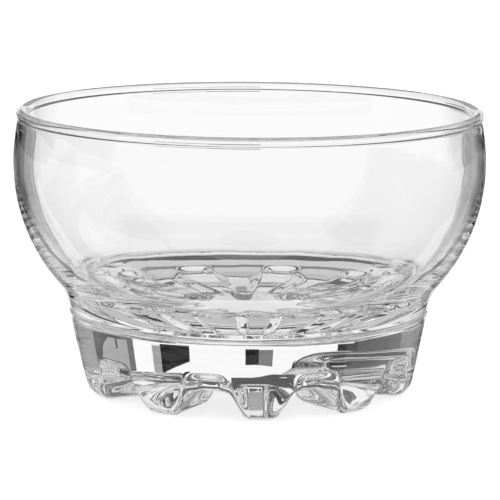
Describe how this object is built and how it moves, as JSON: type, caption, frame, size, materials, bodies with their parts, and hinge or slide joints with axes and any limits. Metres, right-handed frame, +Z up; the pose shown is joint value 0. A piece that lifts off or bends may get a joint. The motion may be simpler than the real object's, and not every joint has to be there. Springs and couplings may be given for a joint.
{
  "type": "salad bowl",
  "caption": "Clear pressed glass salad bowl with a round belly and a beaded lip, on a thick foot ring that ends in rounded radial feet.",
  "frame": {"origin": "centre of the circle that the feet stand on, at the height of the table", "axes": "+Z up along the axis of the bowl; the front foot lies close to -Y"},
  "size_m": [0.125, 0.125, 0.075],
  "materials": {
    "glass": "clear pressed soda-lime glass, fire-polished"
  },
  "bodies": {
    "root": {"bowl": "glass"}
  },
  "joints": []
}
